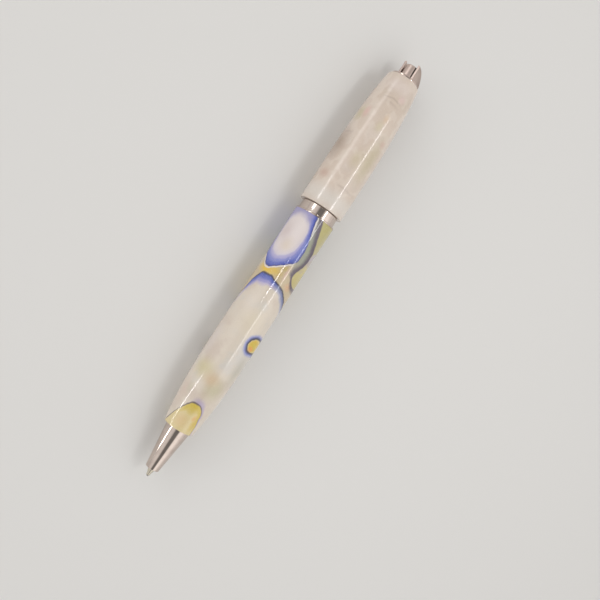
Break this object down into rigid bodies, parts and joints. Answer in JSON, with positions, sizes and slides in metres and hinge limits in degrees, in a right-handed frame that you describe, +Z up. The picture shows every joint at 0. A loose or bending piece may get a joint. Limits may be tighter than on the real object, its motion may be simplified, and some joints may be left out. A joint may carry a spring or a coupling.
{
  "type": "twist-action mini ballpoint pen",
  "caption": "Slim twist-action ballpoint pen with two turned resin barrels, chrome nose, recessed centre band, pocket clip and a refill driven by a helical cam.",
  "frame": {"origin": "middle of the pen's footprint, on the surface that the pen lies on", "axes": "+X along the pen towards the finial, +Z up, +Y to the side away from the clip"},
  "size_m": [0.1165, 0.012, 0.0115],
  "materials": {
    "chrome": "polished chrome plate",
    "lower_resin": "polished cast resin with blue, lilac and yellow cells",
    "cap_resin": "polished pearl-white cast resin",
    "brass": "drawn brass",
    "steel": "turned steel",
    "acetal": "natural moulded plastic",
    "ink": "ink paste"
  },
  "bodies": {
    "lower": {"nose_cone": "chrome", "lower_barrel": "lower_resin", "lower_tube": "brass", "trim_ring": "chrome", "centre_band": "chrome", "guide_sleeve": "brass"},
    "rotor": {"cam_tube": "steel", "cam_retainer": "steel", "cap_bush": "acetal"},
    "refill": {"refill_carrier": "acetal", "cross_pin": "steel", "refill_tube": "steel", "refill_tip": "steel", "writing_ball": "steel", "ink": "ink"},
    "cap": {"upper_barrel": "cap_resin", "upper_tube": "brass", "top_plug": "brass", "clip": "chrome", "finial": "chrome"}
  },
  "joints": [
    {"name": "cap_twist", "type": "hinge", "parent": "lower", "child": "rotor", "pos_m": [0.01707, 0.00034, 0.0057], "axis": [1, 0, 0.0088], "range_deg": [0, 180]},
    {"name": "refill_travel", "type": "slide", "parent": "lower", "child": "refill", "axis": [1, 0, 0.0088], "range_m": [0, 0.0045]},
    {"name": "cap_pull", "type": "slide", "parent": "rotor", "child": "cap", "axis": [1, 0, 0.0088], "range_m": [0, 0.012]}
  ],
  "couplings": [
    {"joint": "refill_travel", "follows": "cap_twist", "m_per_rad": 0.0014323}
  ]
}
